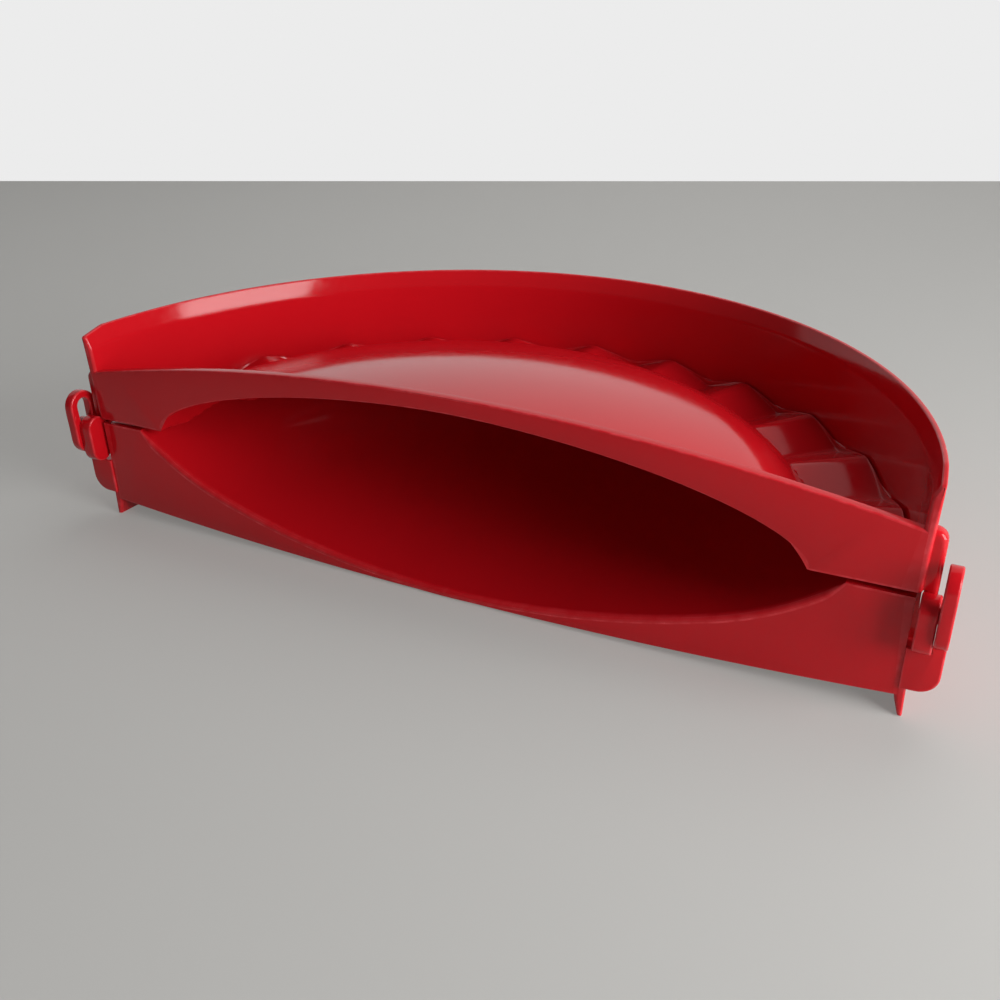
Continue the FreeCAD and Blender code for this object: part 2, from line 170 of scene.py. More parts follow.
# %% [markdown]
# ## The section of a bowl
#
# In section a bowl is two arcs: a wide dome that turns smoothly into a tighter shoulder, which ends at
# the crimping ring. A squashed sphere would look alike from afar, but its wall would vary. Here the
# inside and the outside share their centres, a wall apart. Points gather towards the front plane,
# because there the surface ends in an edge that is seen close up.

# %% The arcs of a bowl
SHOULDER_STEPS = 20
DOME_STEPS = 40
# The shell stops a hair behind the front face, so that the two never lie in one plane.
SEAM = 0.02
CUT = FRONT + SEAM


def bowl_section(half, wall, level):
    """Rows (radius, height) along a bowl, from its foot at a level to the front plane.

    The shoulder is centre + reach * (cos t, sin t), and the dome is span * (sin s, cos s) about a centre
    on the rim's axis. Their centres' distance is the lesser root of the quadratic that makes the inside
    end at the ring's inner edge. A wall of 0 gives the inside.
    """
    foot = RIM_RADIUS - half["ring"]
    shoulder = half["shoulder"]
    turn = math.radians(half["angle"])
    fall = 1.0 - math.cos(turn)
    linear_term = foot * math.sin(turn) + (half["height"] - shoulder) * fall
    constant = foot ** 2 + half["height"] ** 2 - 2.0 * half["height"] * shoulder
    apart = (linear_term - math.sqrt(linear_term ** 2 - 2.0 * fall * constant)) / (2.0 * fall)
    centre_out = apart * math.sin(turn)
    centre_up = half["height"] - shoulder - apart * fall
    reach = shoulder + wall
    span = shoulder + apart + wall
    t = np.linspace(math.asin((level - centre_up) / reach), math.pi / 2 - turn, SHOULDER_STEPS)
    near = math.asin(CUT / span)
    s = near + (turn - near) * np.linspace(1.0, 0.0, DOME_STEPS)[1:] ** 2
    shoulder_arc = np.stack([centre_out + reach * np.cos(t), centre_up + reach * np.sin(t)], axis=1)
    dome_arc = np.stack([span * np.sin(s), half["height"] + wall - span + span * np.cos(s)], axis=1)
    return np.vstack([shoulder_arc, dome_arc])


for name, half in (("upper", UPPER), ("lower", LOWER)):
    section = bowl_section(half, half["wall"], RING_WALL)
    print("%s bowl: foot %.1f mm, crown %.1f mm" % (name, section[0, 0], section[-1, 1]))

# %% [markdown]
# ## The crimping teeth
#
# The ring is folded into eleven ridges, all alike, with valleys between them that dip a little below the
# ring. Both widen and deepen with the radius. Eleven wedges set on a flat ring would show seams at their
# feet, so one wave of the angle describes them all: it is 1 on a crest and 0 in a valley, with straight
# flanks and crisp corners. The same folds shape both faces of both halves, so the plastic stays evenly
# thick and the halves keep an even gap. A fold that enters the other half ends a little sooner than the
# fold that it enters.

# %% Sizes of the teeth: angles in degrees, lengths in millimetres
TOOTH_COUNT = 11
TOOTH_SWING = 72.0
TOOTH_PITCH = 2.0 * TOOTH_SWING / (TOOTH_COUNT - 1)
VALLEY_FLAT = 0.3
TOOTH_FOOT = TOOTH_PITCH / 2.0 - VALLEY_FLAT
TOOTH_CREST = 0.5
TOOTH_HEIGHT = 2.7
TOOTH_DIP = 1.3
TOOTH_SLOPE = 0.3
TOOTH_CLEARANCE = 0.8
TOOTH_SET_IN = 0.6
HOLLOW_SET_IN = 0.1
DIP_SET_IN = 0.25
TOOTH_OUTER = RIM_RADIUS - RIM_WALL - TOOTH_SET_IN
TOOTH_INNER = TOOTH_OUTER - TOOTH_CLEARANCE - TOOTH_SLOPE
HOLLOW_END = TOOTH_OUTER - HOLLOW_SET_IN
DIP_END = TOOTH_OUTER - DIP_SET_IN
CORNER_SOFTNESS = 0.05
print("ridges every %.1f degrees, %.1f mm deep" % (TOOTH_PITCH, TOOTH_HEIGHT + TOOTH_DIP))

# %% The wave of the teeth
def from_back(angle):
    """Degrees from the middle of the back, for an angle in radians counted from +X towards the back."""
    return np.degrees(angle) - 90.0


def soft_ramp(x):
    """0 for low x and x for high x, with a rounded corner between: (x + sqrt(x^2 + e^2)) / 2."""
    return (x + np.sqrt(x ** 2 + CORNER_SOFTNESS ** 2)) / 2.0


def tooth_wave(angle):
    """Height of the teeth from 0 to 1: it falls evenly with the angle from the nearest crest."""
    turn = from_back(angle)
    last = (TOOTH_COUNT - 1) / 2
    off = np.abs(turn - TOOTH_PITCH * np.clip(np.round(turn / TOOTH_PITCH), -last, last))
    flank = (TOOTH_FOOT - off) / (TOOTH_FOOT - TOOTH_CREST)
    return soft_ramp(flank) - soft_ramp(flank - 1.0)


def run_out(radius, end):
    """In proportion to the radius up to an end, and from there rounded off to 0 over a short slope."""
    fall = 1.0 - np.clip((radius - end) / TOOTH_SLOPE, 0.0, 1.0) ** 2
    return (np.minimum(radius, end) / TOOTH_OUTER * fall)[:, None]


def fold_level(radius, angle, crest_end, dip_end):
    """Height of the folded ring: the crest's height times the wave, less the dip times 1 - wave.

    Half a pitch beyond the outermost ridges the dip begins to fade, and at the front the ring is flat.
    """
    past = np.abs(from_back(angle)) - TOOTH_SWING - TOOTH_PITCH / 2.0
    dip = TOOTH_DIP * np.clip(1.0 - past / TOOTH_FOOT, 0.0, 1.0)
    wave = tooth_wave(angle)
    crests = run_out(radius, crest_end) * TOOTH_HEIGHT * wave
    return crests - run_out(radius, dip_end) * dip * (1.0 - wave)


crest_and_valley = np.radians([90.0, 90.0 + TOOTH_PITCH / 2.0])
print("wave on a crest and in a valley:", tooth_wave(crest_and_valley).round(3).tolist())

# %% [markdown]
# ## The shell of a half
#
# Skirt, ring and bowl are one sheet of plastic turned about the rim's axis and cut off by the front
# plane. A revolve tool would do for the plain shape, but not for the teeth or the cut. So each point of
# the section is carried round by hand: at radius r the arc starts where it leaves the front plane, at
# the angle asin(front / r), and ends at the mirror of that angle. A row that is nearer to the axis gets
# a shorter arc, and the last one shrinks to a single point on the crown.

# %% Carrying a section round
COLUMN_COUNT = 430
# Extra columns close to both ends, as shares of the way round, for the rounding of the skirt's ends.
END_SHARES = np.array([0.0001, 0.0003, 0.0006, 0.0010, 0.0015, 0.0021])
spread = np.linspace(0.0, 1.0, COLUMN_COUNT - 2 * len(END_SHARES))
COLUMNS = np.sort(np.concatenate([spread, END_SHARES, 1.0 - END_SHARES]))


def carried(section):
    """Angles and points of section rows carried round the axis between the ends of the front plane."""
    radius, height = section[:, :1], section[:, 1:]
    first = np.arcsin(np.minimum(CUT / radius, 1.0))
    angle = first + COLUMNS * (math.pi - 2.0 * first)
    x = radius * np.cos(angle)
    y = radius * np.sin(angle)
    return angle, np.stack([x, y, np.broadcast_to(height, x.shape)], axis=-1)


def line(start, end, count):
    """Points along a straight run, without its first point."""
    return np.linspace(start, end, count + 1)[1:]


def section_normal(section):
    """Unit normals of a section's rows: the way along it, turned by a right angle to the right."""
    along = np.gradient(section, axis=0)
    length = np.maximum(np.linalg.norm(along, axis=1, keepdims=True), SEAM)
    return np.stack([along[:, 1], -along[:, 0]], axis=1) / length


print("grid columns:", len(COLUMNS))

# %% [markdown]
# ## The skirt
#
# The skirt is the cutting rim: a thin wall that flares a little and ends in a bevelled edge. A Bevel
# modifier would round its corners all alike. Here each corner of the section has its own rounding, and
# the two ends at the front are rounded by drawing the points in.

# %% The section of the skirt
ROUND_STEPS = 5
MATE_EDGE = 0.6
MATE_ROUND = 0.3
EDGE_ROUND_OUT = 0.25
EDGE_ROUND_IN = 0.3
BEVEL_ROUND = 1.0
SKIRT_FOOT = 0.25


def rounded(corners):
    """A path through (radius, height, rounding) corners, with a bend in place of each corner.

    A bend is the curve b(w) = (1-w)^2 * before + 2w(1-w) * corner + w^2 * after, where before and after
    lie on the two sides at the rounding's distance from the corner. The two ends stay as they are.
    """
    corners = np.array(corners)
    place, bend = corners[:, :2], corners[1:-1, 2:]
    back = place[:-2] - place[1:-1]
    ahead = place[2:] - place[1:-1]
    before = place[1:-1] + bend * back / np.linalg.norm(back, axis=1, keepdims=True)
    after = place[1:-1] + bend * ahead / np.linalg.norm(ahead, axis=1, keepdims=True)
    corner = place[1:-1][:, None]
    w = np.linspace(0.0, 1.0, ROUND_STEPS)[None, :, None]
    curve = (1 - w) ** 2 * before[:, None] + 2 * w * (1 - w) * corner + w ** 2 * after[:, None]
    return np.vstack([place[:1], curve.reshape(-1, 2), place[-1:]])


def skirt_path(half):
    """Section of the skirt from the mating face up its outside, over the edge and down to the ring."""
    edge = half["depth"]
    outer = RIM_RADIUS + edge * RIM_FLARE
    bevel = edge - RIM_BEVEL
    inner_foot = RIM_RADIUS - RIM_WALL + RING_WALL * RIM_FLARE
    return rounded([
        (RIM_RADIUS - MATE_EDGE, 0.0, 0.0),
        (RIM_RADIUS, 0.0, MATE_ROUND),
        (outer, edge, EDGE_ROUND_OUT),
        (outer - RIM_EDGE, edge, EDGE_ROUND_IN),
        (RIM_RADIUS + bevel * RIM_FLARE - RIM_WALL, bevel, BEVEL_ROUND),
        (inner_foot, RING_WALL, SKIRT_FOOT),
        (inner_foot - SKIRT_FOOT, RING_WALL, 0.0),
    ])


print("points in the sections of the two skirts:", len(skirt_path(UPPER)), len(skirt_path(LOWER)))

# %% The ends of the skirt
END_ROUND = 0.8
END_SHARE = 0.4


def soften_ends(points, section):
    """Rounds the two front ends of the skirt: there each point draws in along the section's normal.

    At the very end it draws in by a share of the wall's thickness, and along the rounding by what an
    ellipse needs there.
    """
    normal = section_normal(section)
    near_end = np.minimum(COLUMNS, 1.0 - COLUMNS) * math.pi * RIM_RADIUS
    inward = np.clip(1.0 - near_end / END_ROUND, 0.0, None)
    thinning = np.clip((section[:, 1:] - section[:, 1].max() + RIM_BEVEL) / RIM_BEVEL, 0.0, 1.0)
    thickness = RIM_WALL + (RIM_EDGE - RIM_WALL) * thinning
    inset = END_SHARE * thickness * (1.0 - np.sqrt(1.0 - inward ** 2))
    skirt = points[:len(section)]
    skirt[..., :2] *= 1.0 - (normal[:, :1] * inset / section[:, :1])[..., None]
    skirt[..., 2] -= np.clip(normal[:, 1:], 0.0, 1.0) * inset


print("the skirt's ends are rounded over %.1f mm" % END_ROUND)

# %% [markdown]
# ## The upper shell
#
# On the outside the ridges rise from the ring and run into the foot of the dome; the higher of the two
# surfaces is the one that shows. A boolean union of dome and ridges would give the same form with rough
# triangles along the seam, while taking the higher point keeps clean rows. Underneath, the same folds
# shape the mating face. At both ends of the hinge side the rim slopes down a little.

# %% Upper shell
RING_STEPS = 26
SLOPE_STEPS = 6
CORNER_RUN = 6.0
CORNER_DROP = 1.6
CORNER_REACH = 5.0


def upper_outside():
    """Rows of skirt, ring and dome: the ring takes the folds, the dome the higher of itself and them."""
    skirt = skirt_path(UPPER)
    dome = bowl_section(UPPER, UPPER["wall"], RING_WALL)
    slope = np.linspace((TOOTH_OUTER + TOOTH_SLOPE, RING_WALL), (DIP_END, RING_WALL), 2 * SLOPE_STEPS)
    ring = line(slope[-1], dome[0], RING_STEPS)[:-1]
    section = np.vstack([skirt, slope, ring, dome])
    dome_start = len(section) - len(dome)
    angle, points = carried(section)
    fold = RING_WALL + fold_level(section[:, 0], angle, TOOTH_OUTER, DIP_END)
    height = points[..., 2]
    height[len(skirt):dome_start] = fold[len(skirt):dome_start]
    height[dome_start:] = np.maximum(height[dome_start:], fold[dome_start:])
    rim = points[:len(skirt) - 1]
    sink = np.clip((rim[..., 2] - UPPER["depth"] + CORNER_REACH) / CORNER_REACH, 0.0, 1.0)
    near_front = np.clip(1.0 - (rim[..., 1] - FRONT) / CORNER_RUN, 0.0, 1.0)
    rim[..., 2] -= CORNER_DROP * sink * near_front
    soften_ends(points, skirt)
    return points


def upper_inside():
    """Rows of the dome's inside, from the crown outwards, and of the mating face with its hollows."""
    dome = bowl_section(UPPER, 0.0, 0.0)
    hollow = line((dome[0, 0], 0.0), (HOLLOW_END, 0.0), RING_STEPS)
    end_wall = [(HOLLOW_END, 0.0)]
    section = np.vstack([dome[::-1], hollow])
    angle, points = carried(section)
    fold = fold_level(section[:, 0], angle, TOOTH_OUTER, TOOTH_OUTER)
    height = points[..., 2]
    height[:len(dome)] = np.maximum(height[:len(dome)], fold[:len(dome)])
    height[len(dome):] = fold[len(dome):]
    return np.concatenate([points, carried(np.array(end_wall))[1]])


upper_shell_grid = np.concatenate([upper_outside(), upper_inside()])
upper_shell = piece_from_grids("upper_shell", [upper_shell_grid], upper_place)

# %% [markdown]
# ## The lower shell
#
# The lower bowl is deeper and wider, so its ring is narrower. Its teeth stand up from the mating face
# into the hollows of the upper half, and are hollow underneath. Where the bowl comes out through the
# front the edge is rounded. A Bevel modifier can't follow an edge between two pieces, so near the front
# plane each point of the inside is pushed into the wall by what a quarter circle of the lip's radius
# needs there.

# %% The underside of the lower shell
HOLLOW_STEPS = 8


def lower_outside():
    """Rows of skirt, ring and bowl: the ring takes the dips, and under the teeth the whole fold."""
    skirt = skirt_path(LOWER)
    bowl = bowl_section(LOWER, LOWER["wall"], RING_WALL)
    before = line(skirt[-1], (TOOTH_INNER, RING_WALL), 2 * SLOPE_STEPS)
    hollow = np.linspace((TOOTH_INNER, RING_WALL), bowl[0], HOLLOW_STEPS)
    section = np.vstack([skirt, before, hollow, bowl])
    bowl_start = len(section) - len(bowl)
    under_teeth = slice(bowl_start - len(hollow), bowl_start)
    angle, points = carried(section)
    fold = fold_level(section[:, 0], angle, TOOTH_INNER, TOOTH_OUTER)
    shown = np.minimum(fold, 0.0)
    shown[under_teeth] = fold[under_teeth]
    level = RING_WALL - shown
    height = points[..., 2]
    height[len(skirt):bowl_start] = level[len(skirt):bowl_start]
    height[bowl_start:] = np.maximum(height[bowl_start:], level[bowl_start:])
    soften_ends(points, skirt)
    return points


print("underside of the lower half: %d rows of %d points" % lower_outside().shape[:2])

# %% Lower shell
LIP = 1.2
LIP_FADE = 3.0


def lip_shift(distance, height):
    """How far a rounded lip recedes at a distance behind the front plane, fading out at the foot."""
    lip = LIP * np.clip(height / LIP_FADE, 0.0, 1.0)
    inward = np.clip(lip - distance, 0.0, None)
    return lip - np.sqrt(np.maximum(lip ** 2 - inward ** 2, 0.0))


def lower_inside():
    """Rows of the cavity with its lip, from the crown outwards, and of the toothed mating face."""
    bowl = bowl_section(LOWER, 0.0, 0.0)
    angle, cavity = carried(bowl)
    fold = fold_level(bowl[:, 0], angle, TOOTH_INNER, TOOTH_OUTER)
    cavity[..., 2] = np.maximum(cavity[..., 2], -fold)
    normal = section_normal(bowl)
    shift = lip_shift(cavity[..., 1] - CUT, cavity[..., 2])
    across = cavity[..., 0] / bowl[:, :1]
    cavity[..., 0] += shift * normal[:, :1] * across
    cavity[..., 2] += shift * normal[:, 1:]

    ridges = np.linspace((bowl[0, 0], 0.0), (TOOTH_INNER, 0.0), RING_STEPS // 2)
    slope = line((TOOTH_INNER, 0.0), (TOOTH_OUTER + TOOTH_SLOPE, 0.0), 3 * SLOPE_STEPS)
    mating = np.vstack([ridges, slope])
    angle, face = carried(mating)
    face[..., 2] -= fold_level(mating[:, 0], angle, TOOTH_INNER, TOOTH_OUTER)
    return np.concatenate([cavity[::-1], face])


lower_shell_grid = np.concatenate([lower_outside(), lower_inside()])
lower_shell = piece_from_grids("lower_shell", [lower_shell_grid], lower_place)

# %% [markdown]
# ## The front walls
#
# Along the hinge side each half has a flat wall. Its free edge is a shallow arch, and its mouth, through
# which the filling is seen, is cut out of it. A filled curve with some thickness would do, but its faces
# would be long slivers. So a wall is a band between two curves, the mouth and the arch: a rounded
# rectangle is carried along them, stretched at each step to reach from one to the other.

# %% Carrying a rounded rectangle between two curves
WALL_ROUND = 0.45
BEND_STEPS = 5


def rounded_rectangle(thickness, rounding):
    """Rows (offset, share, depth) round a section: the way along is offset + share * width.

    The four corners are quarter circles of the rounding, in the order inner front, outer front, outer
    back and inner back.
    """
    w = np.linspace(0.0, math.pi / 2, BEND_STEPS)
    cosine_fall = rounding * (1.0 - np.cos(w))
    sine_fall = rounding * (1.0 - np.sin(w))
    offset = np.concatenate([cosine_fall, -sine_fall, -cosine_fall, sine_fall])
    share = np.repeat([0.0, 1.0, 1.0, 0.0], BEND_STEPS)
    depth = np.concatenate([sine_fall, cosine_fall, thickness - sine_fall, thickness - cosine_fall])
    return offset[:, None], share[:, None], depth[:, None]


def band(inner, outer, thickness, rounding):
    """Places along two curves and depths through the band, each as a grid of section rows by columns."""
    offset, share, depth = rounded_rectangle(thickness, rounding)
    width = np.linalg.norm(outer - inner, axis=1)
    along = (outer - inner) / width[:, None]
    reach = offset + share * width
    first = inner[:, 0] + along[:, 0] * reach
    second = inner[:, 1] + along[:, 1] * reach
    return first, second, np.broadcast_to(depth, first.shape)


def in_front(shape, front):
    """A shape drawn in x and z, with its depth to the back."""
    first, second, depth = shape
    return np.stack([first, front + depth, second], axis=-1)


print("points round a wall's section:", len(rounded_rectangle(FRONT_WALL, WALL_ROUND)[0]))

# %% From a mouth to a wall
END_STEPS = 8
ARCH_SHARE = 0.66


def arch(half, x):
    """Height of a wall's free edge: an arc that falls by the arch from the crown to the wall's ends."""
    radius = (FRONT_HALF ** 2 + half["arch"] ** 2) / (2.0 * half["arch"])
    return half["crown"] - radius + np.sqrt(radius ** 2 - x ** 2)


def front_wall_grid(half, mouth_x, mouth_z):
    """The band between a mouth and the arch: it goes on past the mouth along the mating face.

    The arch's points spread further than the mouth's, by a share of the way from its foot to the end.
    """
    foot = mouth_x.max()
    arch_foot = foot + ARCH_SHARE * (FRONT_HALF - foot)
    out = np.linspace(foot, FRONT_HALF, END_STEPS)[1:]
    arch_out = np.linspace(arch_foot, FRONT_HALF, END_STEPS)[1:]
    inner_x = np.concatenate([-out[::-1], mouth_x, out])
    inner_z = np.pad(np.maximum(mouth_z, SEAM), len(out), constant_values=SEAM)
    outer_x = np.concatenate([-arch_out[::-1], mouth_x * arch_foot / foot, arch_out])
    inner = np.stack([inner_x, inner_z], axis=1)
    outer = np.stack([outer_x, arch(half, outer_x)], axis=1)
    return in_front(band(inner, outer, FRONT_WALL, WALL_ROUND), FRONT)


for name, half in (("upper", UPPER), ("lower", LOWER)):
    print("%s wall: %.1f mm high at its ends" % (name, arch(half, FRONT_HALF)))

# %% The two front walls
MOUTH_SIDE = 18.9
MOUTH_BAND = 3.8
MOUTH_HALF = FRONT_HALF - MOUTH_SIDE
MOUTH_HEIGHT = UPPER["crown"] - MOUTH_BAND
MOUTH_POWER = 1.8
MOUTH_STEPS = 160


def upper_mouth():
    """The curve |x / half|^p + |z / height|^p = 1, a little slimmer at its ends than an ellipse."""
    theta = np.linspace(math.pi, 0.0, MOUTH_STEPS)
    share_x = np.sign(np.cos(theta)) * np.abs(np.cos(theta)) ** (2.0 / MOUTH_POWER)
    share_z = np.abs(np.sin(theta)) ** (2.0 / MOUTH_POWER)
    return MOUTH_HALF * share_x, MOUTH_HEIGHT * share_z


def lower_mouth():
    """Where the lower bowl meets the front plane, x = sqrt(r^2 - front^2), moved out by the lip."""
    bowl = bowl_section(LOWER, 0.0, 0.0)
    radius, height = bowl.T
    normal = section_normal(bowl)
    shift = lip_shift(np.zeros(len(bowl)), height)
    x = np.sqrt(np.maximum(radius ** 2 - CUT ** 2, 0.0))
    x = x + shift * normal[:, 0] * x / radius
    z = height + shift * normal[:, 1]
    return np.concatenate([-x, x[::-1][1:]]), np.concatenate([z, z[::-1][1:]])


upper_wall = piece_from_grids("upper_front_wall", [front_wall_grid(UPPER, *upper_mouth())], upper_place)
lower_wall = piece_from_grids("lower_front_wall", [front_wall_grid(LOWER, *lower_mouth())], lower_place)

# %% [markdown]
# ## The hinge
#
# The hinge is moulded in one with the halves. At each end the upper half has a boss with a hanging lever
# and a round pin, and the lower half an ear with an upright spring loop that snaps over the pin. These
# are flat slabs with rounded edges, which bevelled blocks and cylinders could give too. Here an outline
# is carried from one flat face to the other, and near the faces it draws in by what a quarter circle
# needs. The loop has a hole, so it is a band between the keyhole and its own outline.

# %% Sizes of the hinge
# Where plastic runs into plastic, the faces are a step apart, so that they never lie in one plane.
FACE_STEP = 0.1
HINGE_FORWARD = 1.0
HINGE_Y = FRONT - HINGE_FORWARD
UPPER_HINGE = (UPPER["depth"] - MATE_GAP - LOWER["depth"]) / 2.0
LOWER_HINGE = (LOWER["depth"] - MATE_GAP - UPPER["depth"]) / 2.0
PIN_RADIUS = 2.2
PIN_CLEARANCE = 0.06
LEVER_GAP = 0.4
LEVER_THICKNESS = 2.8
LEVER_OUTER = RIM_RADIUS + LEVER_GAP + LEVER_THICKNESS
LEVER_ROUND = 3.0
LEVER_DROP = 5.9
LOOP_GAP = 0.04
LOOP_REACH = 2.5
LOOP_INNER = LEVER_OUTER + LOOP_GAP
LOOP_OUTER = LEVER_OUTER + LOOP_REACH
SLAB_ROUND = 0.4
BEND_POINTS = 9
print("the hinge reaches from x = %.1f to %.1f mm at each end" % (FRONT_HALF, LOOP_OUTER))

# %% Slabs with rounded edges
def arc(centre, radius, start, end, count=BEND_POINTS):
    """Points on a circle from one angle to another, in degrees."""
    t = np.radians(np.linspace(start, end, count))
    return np.stack([centre[0] + radius * np.cos(t), centre[1] + radius * np.sin(t)], axis=1)


def slab(outline, thickness, rounding):
    """Places and depths of a slab as grids: the outline draws in along its normal near both faces."""
    along = np.roll(outline, -1, axis=0) - np.roll(outline, 1, axis=0)
    normal = np.stack([along[:, 1], -along[:, 0]], axis=1) / np.linalg.norm(along, axis=1, keepdims=True)
    w = np.linspace(0.0, math.pi / 2, BEND_STEPS)
    inset = rounding * np.concatenate([1.0 - np.sin(w), 1.0 - np.cos(w)])
    depth = np.concatenate([rounding * (1.0 - np.cos(w)), thickness - rounding * (1.0 - np.sin(w))])
    first = outline[:, :1] - normal[:, :1] * inset
    second = outline[:, 1:] - normal[:, 1:] * inset
    return first, second, np.broadcast_to(depth, first.shape)


def to_the_side(shape, side):
    """A shape drawn in y and z, with its depth outwards along x."""
    first, second, depth = shape
    return np.stack([side + depth, first, second], axis=-1)


def both_ends(grids):
    """The grids of the right end of the hinge, and their mirror images at the left end."""
    return list(grids) + [grid * (-1.0, 1.0, 1.0) for grid in grids]


print("points on a quarter bend:", len(arc((0.0, 0.0), 1.0, 0, 90)))

# %% Boss, lever and pin of the upper half
LEVER_ROOT = 0.2
LEVER_SIDE = RIM_RADIUS - LEVER_ROOT
BOSS_HEIGHT = 12.3
BOSS_DEPTH = 4.0
BOSS_SETBACK = 0.7
BOSS_ROOT = 0.8
BOSS_REACH = 2.3
BOSS_INNER = FRONT_HALF - BOSS_ROOT
BOSS_STEP = LEVER_SIDE + FACE_STEP
BOSS_OUTER = RIM_RADIUS + BOSS_REACH
BOSS_CORNER = 2.4
BOSS_ROUND = 1.0
PIN_ROOT = 0.5
PIN_SIDE = LEVER_OUTER - PIN_ROOT
PIN_STEPS = 48

boss_outline = np.vstack([
    [(BOSS_INNER, SEAM), (BOSS_STEP, SEAM), (BOSS_STEP, UPPER_HINGE), (BOSS_OUTER, UPPER_HINGE)],
    arc((BOSS_OUTER - BOSS_CORNER, BOSS_HEIGHT - BOSS_CORNER), BOSS_CORNER, 0, 90),
    [(BOSS_INNER, BOSS_HEIGHT)],
])
lever_outline = np.vstack([
    arc((HINGE_Y, UPPER_HINGE), LEVER_ROUND, 0, 180),
    arc((HINGE_Y, UPPER_HINGE - LEVER_DROP), LEVER_ROUND, 180, 360),
])
pin_outline = arc((HINGE_Y, UPPER_HINGE), PIN_RADIUS, 0, 360, PIN_STEPS + 1)[:-1]
upper_hinge_grids = both_ends([
    in_front(slab(boss_outline, BOSS_DEPTH - BOSS_SETBACK, BOSS_ROUND), FRONT + BOSS_SETBACK),
    to_the_side(slab(lever_outline, LEVER_OUTER - LEVER_SIDE, SLAB_ROUND), LEVER_SIDE),
    to_the_side(slab(pin_outline, LOOP_OUTER - PIN_SIDE, SLAB_ROUND), PIN_SIDE),
])
upper_hinge = piece_from_grids("upper_hinge", upper_hinge_grids, upper_place)

# %% Outlines of the spring loop
LOOP_ROUND = 4.0
LOOP_HEIGHT = 8.2
LOOP_DROP = 7.0
SLOT_HALF = 1.9
BORE = PIN_RADIUS + PIN_CLEARANCE
loop_back = HINGE_Y + LOOP_ROUND
loop_foot = LOWER_HINGE + LOOP_DROP - LOOP_ROUND
loop_shoulder = LOOP_ROUND - LOOP_HEIGHT
slot_angle = math.degrees(math.acos(SLOT_HALF / BORE))
slot_end = 2.0 * SLOT_HALF - LOOP_HEIGHT

half_keyhole = np.vstack([
    arc((HINGE_Y, LOWER_HINGE), BORE, 90, -slot_angle, 2 * BEND_POINTS),
    arc((HINGE_Y, slot_end), SLOT_HALF, 0, -90),
])
half_loop = np.vstack([
    arc((HINGE_Y, loop_foot), LOOP_ROUND, 90, 0),
    np.linspace((loop_back, loop_foot), (loop_back, loop_shoulder), BEND_POINTS + 2)[1:-1],
    arc((HINGE_Y, loop_shoulder), LOOP_ROUND, 0, -90),
])


def whole(half_curve):
    """A half curve on one side of the hinge axis, closed by its mirror image."""
    mirror = half_curve[::-1] * (-1.0, 1.0) + (2.0 * HINGE_Y, 0.0)
    return np.vstack([half_curve, mirror[1:]])


print("the loop's slot is %.1f mm wide, its bore %.2f mm" % (2.0 * SLOT_HALF, 2.0 * BORE))

# %% Ear and spring loop of the lower half
LOOP_POST = 3.1
EAR_GAP = 0.35
EAR_HEIGHT = 9.0
EAR_TOP = LOWER_HINGE + LEVER_DROP + LEVER_ROUND + EAR_GAP
EAR_BOTTOM = EAR_TOP + EAR_HEIGHT
EAR_FORWARD = 0.5
EAR_THICKNESS = 3.0
EAR_CORNER = 4.0
EAR_OUTER = LOOP_OUTER - FACE_STEP
post_top = LOWER_HINGE + LOOP_DROP - LOOP_POST

ear_outline = np.vstack([
    [(FRONT_HALF, EAR_TOP), (LOOP_INNER, EAR_TOP), (LOOP_INNER, post_top), (EAR_OUTER, post_top)],
    arc((EAR_OUTER - EAR_CORNER, EAR_BOTTOM - EAR_CORNER), EAR_CORNER, 0, 90),
    [(FRONT_HALF, EAR_BOTTOM)],
])
loop_shape = band(whole(half_keyhole), whole(half_loop), LOOP_OUTER - LOOP_INNER, SLAB_ROUND)
lower_hinge_grids = both_ends([
    in_front(slab(ear_outline, EAR_THICKNESS, SLAB_ROUND), FRONT - EAR_FORWARD),
    to_the_side(loop_shape, LOOP_INNER),
])
lower_hinge = piece_from_grids("lower_hinge", lower_hinge_grids, lower_place)

# %% [markdown]
# ## The notches of the lower half
#
# Beside the levers the ends of the lower skirt are cut away. The grid could be shaped to leave them out,
# but a notch is a plain cut, so a boolean with a block does it, and the result is kept as the piece's
# mesh.

# %% Cutting the notches
NOTCH_DEPTH = 3.2
NOTCH_SPARE = 1.0
NOTCH_STEP = 0.05
NOTCH_CLEARANCE = 0.15
NOTCH_INNER = FRONT_HALF + NOTCH_STEP
NOTCH_FLOOR = EAR_TOP - NOTCH_CLEARANCE
block_sides = np.meshgrid(
    (NOTCH_INNER, LEVER_OUTER + NOTCH_SPARE),
    (FRONT - NOTCH_SPARE, FRONT + NOTCH_DEPTH),
    (-NOTCH_SPARE, NOTCH_FLOOR),
    indexing="ij",
)
block_corners = np.stack(block_sides, axis=-1).reshape(-1, 3)


def cut_block(piece, corners):
    """Takes the block that spans eight corners out of a piece, and keeps the result as its mesh."""
    block_mesh = bpy.data.meshes.new("notch_block")
    block_mesh.from_pydata(corners.tolist(), [], [])
    work = bmesh.new()
    work.from_mesh(block_mesh)
    bmesh.ops.convex_hull(work, input=work.verts)
    work.to_mesh(block_mesh)
    work.free()
    block = add_object("notch_block", block_mesh)
    cut = piece.modifiers.new("notch", "BOOLEAN")
    cut.operation = "DIFFERENCE"
    cut.solver = "FAST"
    cut.object = block
    ready = piece.evaluated_get(bpy.context.evaluated_depsgraph_get())
    mesh = bpy.data.meshes.new_from_object(ready)
    piece.modifiers.clear()
    piece.data = mesh
    mesh.materials.clear()
    mesh.set_sharp_from_angle(angle=SMOOTH_ANGLE)
    bpy.data.objects.remove(block)
    print("%s: %d faces, %d open edges" % (piece.name, len(mesh.polygons), open_edges(mesh)))


